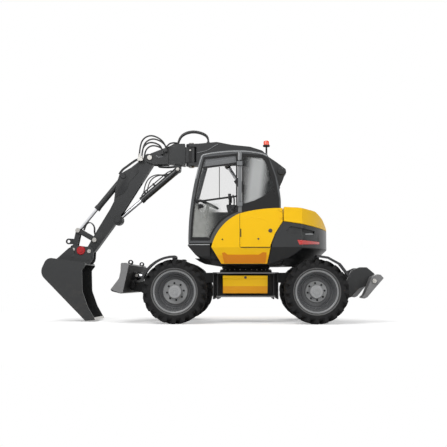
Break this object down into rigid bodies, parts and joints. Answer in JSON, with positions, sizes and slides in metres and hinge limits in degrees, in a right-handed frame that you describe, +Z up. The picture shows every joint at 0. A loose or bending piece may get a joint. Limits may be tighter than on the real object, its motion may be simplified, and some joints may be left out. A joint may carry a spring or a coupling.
{
  "type": "wheeled excavator",
  "caption": "Wheeled excavator with a folding offset boom, digging bucket, turning upper body with a cab, front dozer blade and rear stabiliser legs.",
  "frame": {"origin": "on the ground at the middle of the overall length and width", "axes": "+X towards the blade and bucket, +Y towards the operator's left, the side of the cab, +Z up"},
  "size_m": [6.0025, 2.45, 3.4968],
  "materials": {
    "frame_grey": "satin dark grey paint",
    "panel_yellow": "glossy yellow paint",
    "cab_grey": "satin dark grey paint",
    "tinted_glass": "dark tinted",
    "wheel_grey": "satin grey paint",
    "tyre_rubber": "matt black",
    "fender_plastic": "matt black",
    "seat_cloth": "woven black cloth",
    "beacon_orange": "clear orange plastic",
    "lamp_red": "clear red plastic",
    "hose_rubber": "black hydraulic hose",
    "cylinder_grey": "dark grey paint",
    "rod_chrome": "hard chrome"
  },
  "bodies": {
    "chassis": {"chassis_frame": "frame_grey", "slew_ring": "frame_grey", "toolboxes": "panel_yellow", "axles": "frame_grey"},
    "turret": {"turret_deck": "frame_grey", "counterweight": "frame_grey", "cab_shell": "cab_grey", "cab_glass": "tinted_glass", "left_cover": "panel_yellow", "right_cover": "panel_yellow", "engine_block": "frame_grey", "seat": "seat_cloth", "console": "frame_grey", "beacon": "beacon_orange", "tail_lamps": "lamp_red"},
    "hood": {"rear_hood": "panel_yellow"},
    "door": {"cab_door": "cab_grey", "door_glass": "tinted_glass"},
    "service_panel": {"service_door": "panel_yellow"},
    "steering_fl": {"knuckle_fl": "frame_grey", "fender_fl": "fender_plastic"},
    "wheel_fl": {"rim_fl": "wheel_grey", "tyre_fl": "tyre_rubber"},
    "steering_fr": {"knuckle_fr": "frame_grey", "fender_fr": "fender_plastic"},
    "wheel_fr": {"rim_fr": "wheel_grey", "tyre_fr": "tyre_rubber"},
    "steering_rl": {"knuckle_rl": "frame_grey", "fender_rl": "fender_plastic"},
    "wheel_rl": {"rim_rl": "wheel_grey", "tyre_rl": "tyre_rubber"},
    "steering_rr": {"knuckle_rr": "frame_grey", "fender_rr": "fender_plastic"},
    "wheel_rr": {"rim_rr": "wheel_grey", "tyre_rr": "tyre_rubber"},
    "boom_lower": {"lower_boom": "frame_grey"},
    "boom_upper": {"upper_boom": "frame_grey", "hose_arch": "hose_rubber"},
    "head": {"boom_head": "frame_grey", "hoses_arm": "hose_rubber"},
    "dipper": {"arm": "frame_grey"},
    "lever_body": {"lever": "frame_grey"},
    "link_body": {"link": "frame_grey"},
    "bucket_body": {"coupler": "frame_grey", "bucket": "frame_grey"},
    "lift_tube": {"lift_barrel": "cylinder_grey"},
    "lift_piston": {"lift_rod": "rod_chrome"},
    "mid_tube": {"mid_barrel": "cylinder_grey"},
    "mid_piston": {"mid_rod": "rod_chrome"},
    "arm_tube": {"arm_barrel": "cylinder_grey"},
    "arm_piston": {"arm_rod": "rod_chrome"},
    "bucket_tube": {"bucket_barrel": "cylinder_grey"},
    "bucket_piston": {"bucket_rod": "rod_chrome"},
    "swing_tube": {"swing_barrel": "cylinder_grey"},
    "swing_piston": {"swing_rod": "rod_chrome"},
    "blade_tube": {"blade_barrel": "cylinder_grey"},
    "blade_piston": {"blade_rod": "rod_chrome"},
    "blade_body": {"blade": "frame_grey"},
    "legs_body": {"stabiliser_legs": "frame_grey"},
    "pads_body": {"stabiliser_pads": "frame_grey"}
  },
  "joints": [
    {"name": "slew", "type": "hinge", "parent": "chassis", "child": "turret", "pos_m": [-0.6534, 0, 0.95], "axis": [0, 0, 1], "continuous": true},
    {"name": "steer_fl", "type": "hinge", "parent": "chassis", "child": "steering_fl", "pos_m": [0.5316, 0.7, 0.54], "axis": [0, 0, 1], "range_deg": [-30, 30]},
    {"name": "wheel_fl", "type": "hinge", "parent": "steering_fl", "child": "wheel_fl", "pos_m": [0.5316, 1.01, 0.54], "axis": [0, 1, 0], "continuous": true},
    {"name": "steer_fr", "type": "hinge", "parent": "chassis", "child": "steering_fr", "pos_m": [0.5316, -0.7, 0.54], "axis": [0, 0, 1], "range_deg": [-30, 30]},
    {"name": "wheel_fr", "type": "hinge", "parent": "steering_fr", "child": "wheel_fr", "pos_m": [0.5316, -1.01, 0.54], "axis": [0, 1, 0], "continuous": true},
    {"name": "steer_rl", "type": "hinge", "parent": "chassis", "child": "steering_rl", "pos_m": [-1.8384, 0.7, 0.54], "axis": [0, 0, 1], "range_deg": [-30, 30]},
    {"name": "wheel_rl", "type": "hinge", "parent": "steering_rl", "child": "wheel_rl", "pos_m": [-1.8384, 1.01, 0.54], "axis": [0, 1, 0], "continuous": true},
    {"name": "steer_rr", "type": "hinge", "parent": "chassis", "child": "steering_rr", "pos_m": [-1.8384, -0.7, 0.54], "axis": [0, 0, 1], "range_deg": [-30, 30]},
    {"name": "wheel_rr", "type": "hinge", "parent": "steering_rr", "child": "wheel_rr", "pos_m": [-1.8384, -1.01, 0.54], "axis": [0, 1, 0], "continuous": true},
    {"name": "cab_door", "type": "hinge", "parent": "turret", "child": "door", "pos_m": [-0.5754, 1.062, 2.1], "axis": [0, 0, 1], "range_deg": [0, 100]},
    {"name": "service_door", "type": "hinge", "parent": "turret", "child": "service_panel", "pos_m": [-1.2694, 1.112, 1.8], "axis": [0, 0, 1], "range_deg": [0, 100]},
    {"name": "hood", "type": "hinge", "parent": "turret", "child": "hood", "pos_m": [-1.2974, 0, 1.964], "axis": [0, 1, 0], "range_deg": [0, 55]},
    {"name": "lower_boom", "type": "hinge", "parent": "turret", "child": "boom_lower", "pos_m": [-0.5034, -0.12, 1.3], "axis": [0, -1, 0], "range_deg": [-28, 8]},
    {"name": "upper_boom", "type": "hinge", "parent": "boom_lower", "child": "boom_upper", "pos_m": [-1.3024, -0.12, 2.723], "axis": [0, -1, 0], "range_deg": [-12, 20]},
    {"name": "offset", "type": "hinge", "parent": "boom_upper", "child": "head", "pos_m": [0.3466, -0.12, 3.04], "axis": [0, 0, 1], "range_deg": [-55, 55]},
    {"name": "arm", "type": "hinge", "parent": "head", "child": "dipper", "pos_m": [1.1116, -0.12, 2.99], "axis": [0, 1, 0], "range_deg": [-50, 12]},
    {"name": "bucket", "type": "hinge", "parent": "dipper", "child": "bucket_body", "pos_m": [2.2106, -0.12, 1.267], "axis": [0, 1, 0], "range_deg": [-62, 35]},
    {"name": "blade", "type": "hinge", "parent": "chassis", "child": "blade_body", "pos_m": [0.7966, 0, 0.52], "axis": [0, -1, 0], "range_deg": [-42, 4]},
    {"name": "stabilisers", "type": "hinge", "parent": "chassis", "child": "legs_body", "pos_m": [-2.3934, 0, 0.52], "axis": [0, -1, 0], "range_deg": [0, 85]},
    {"name": "lift_cylinder_foot", "type": "hinge", "parent": "turret", "child": "lift_tube", "pos_m": [0.0866, -0.12, 1.19], "axis": [0, -1, 0], "range_deg": [-12.55, 3.7]},
    {"name": "lift_cylinder_stroke", "type": "slide", "parent": "lift_tube", "child": "lift_piston", "axis": [-0.751, 0, 0.6603], "range_m": [-0.1716, 0.0506]},
    {"name": "mid_cylinder_foot", "type": "hinge", "parent": "boom_lower", "child": "mid_tube", "pos_m": [-0.8234, -0.12, 2.095], "axis": [0, -1, 0], "range_deg": [-8.5, 14.02]},
    {"name": "mid_cylinder_stroke", "type": "slide", "parent": "mid_tube", "child": "mid_piston", "axis": [0.5521, 0, 0.8337], "range_m": [-0.1561, 0.2574]},
    {"name": "arm_cylinder_foot", "type": "hinge", "parent": "head", "child": "arm_tube", "pos_m": [0.5986, -0.12, 2.78], "axis": [0, -1, 0], "range_deg": [-9.74, 39.04]},
    {"name": "arm_cylinder_stroke", "type": "slide", "parent": "arm_tube", "child": "arm_piston", "axis": [0.7625, 0, -0.647], "range_m": [-0.0896, 0.3591]},
    {"name": "bucket_cylinder_foot", "type": "hinge", "parent": "dipper", "child": "bucket_tube", "pos_m": [1.6026, -0.12, 2.657], "axis": [0, -1, 0], "range_deg": [-3.16, 1.81]},
    {"name": "bucket_cylinder_stroke", "type": "slide", "parent": "bucket_tube", "child": "bucket_piston", "axis": [0.6341, 0, -0.7732], "range_m": [-0.3393, 0.1939]},
    {"name": "blade_cylinder_foot", "type": "hinge", "parent": "chassis", "child": "blade_tube", "pos_m": [0.7666, 0, 0.8], "axis": [0, -1, 0], "range_deg": [-36.46, 3.83]},
    {"name": "blade_cylinder_stroke", "type": "slide", "parent": "blade_tube", "child": "blade_piston", "axis": [0.9992, 0, 0.0392], "range_m": [-0.0207, 0.1963]},
    {"name": "swing_cylinder_foot", "type": "hinge", "parent": "boom_upper", "child": "swing_tube", "pos_m": [-0.4734, -0.31, 3.04], "axis": [0, 0, 1], "range_deg": [-2.94, 2.94]},
    {"name": "swing_cylinder_stroke", "type": "slide", "parent": "swing_tube", "child": "swing_piston", "axis": [1, 0, 0], "range_m": [-0.1716, 0.1716]},
    {"name": "lever", "type": "hinge", "parent": "dipper", "child": "lever_body", "pos_m": [2.1166, -0.12, 1.474], "axis": [0, 1, 0], "range_deg": [-58.22, 33.26]},
    {"name": "link", "type": "hinge", "parent": "lever_body", "child": "link_body", "pos_m": [2.4276, -0.12, 1.651], "axis": [0, 1, 0], "range_deg": [-20.54, 35.96]},
    {"name": "stabiliser_pads", "type": "hinge", "parent": "legs_body", "child": "pads_body", "pos_m": [-2.8434, 0, 0.72], "axis": [0, -1, 0], "range_deg": [-36.36, 0.36]}
  ],
  "couplings": [
    {"joint": "steer_fr", "follows": "steer_fl", "ratio": 1},
    {"joint": "steer_rl", "follows": "steer_fl", "ratio": -1},
    {"joint": "steer_rr", "follows": "steer_fl", "ratio": -1},
    {"joint": "lift_cylinder_foot", "follows": "lower_boom", "ratio": 0.44228},
    {"joint": "lift_cylinder_stroke", "follows": "lower_boom", "m_per_rad": 0.34654},
    {"joint": "mid_cylinder_foot", "follows": "upper_boom", "ratio": 0.68947},
    {"joint": "mid_cylinder_stroke", "follows": "upper_boom", "m_per_rad": 0.72577},
    {"joint": "arm_cylinder_foot", "follows": "arm", "ratio": -0.77114},
    {"joint": "arm_cylinder_stroke", "follows": "arm", "m_per_rad": -0.40643},
    {"joint": "bucket_cylinder_foot", "follows": "bucket", "ratio": 0.050096},
    {"joint": "bucket_cylinder_stroke", "follows": "bucket", "m_per_rad": 0.30871},
    {"joint": "blade_cylinder_foot", "follows": "blade", "ratio": 0.85856},
    {"joint": "blade_cylinder_stroke", "follows": "blade", "m_per_rad": -0.26488},
    {"joint": "swing_cylinder_foot", "follows": "offset", "ratio": 0.052255},
    {"joint": "swing_cylinder_stroke", "follows": "offset", "m_per_rad": 0.17522},
    {"joint": "lever", "follows": "bucket", "ratio": 0.92444},
    {"joint": "link", "follows": "bucket", "ratio": -0.57095},
    {"joint": "stabiliser_pads", "follows": "stabilisers", "ratio": -0.4235}
  ]
}
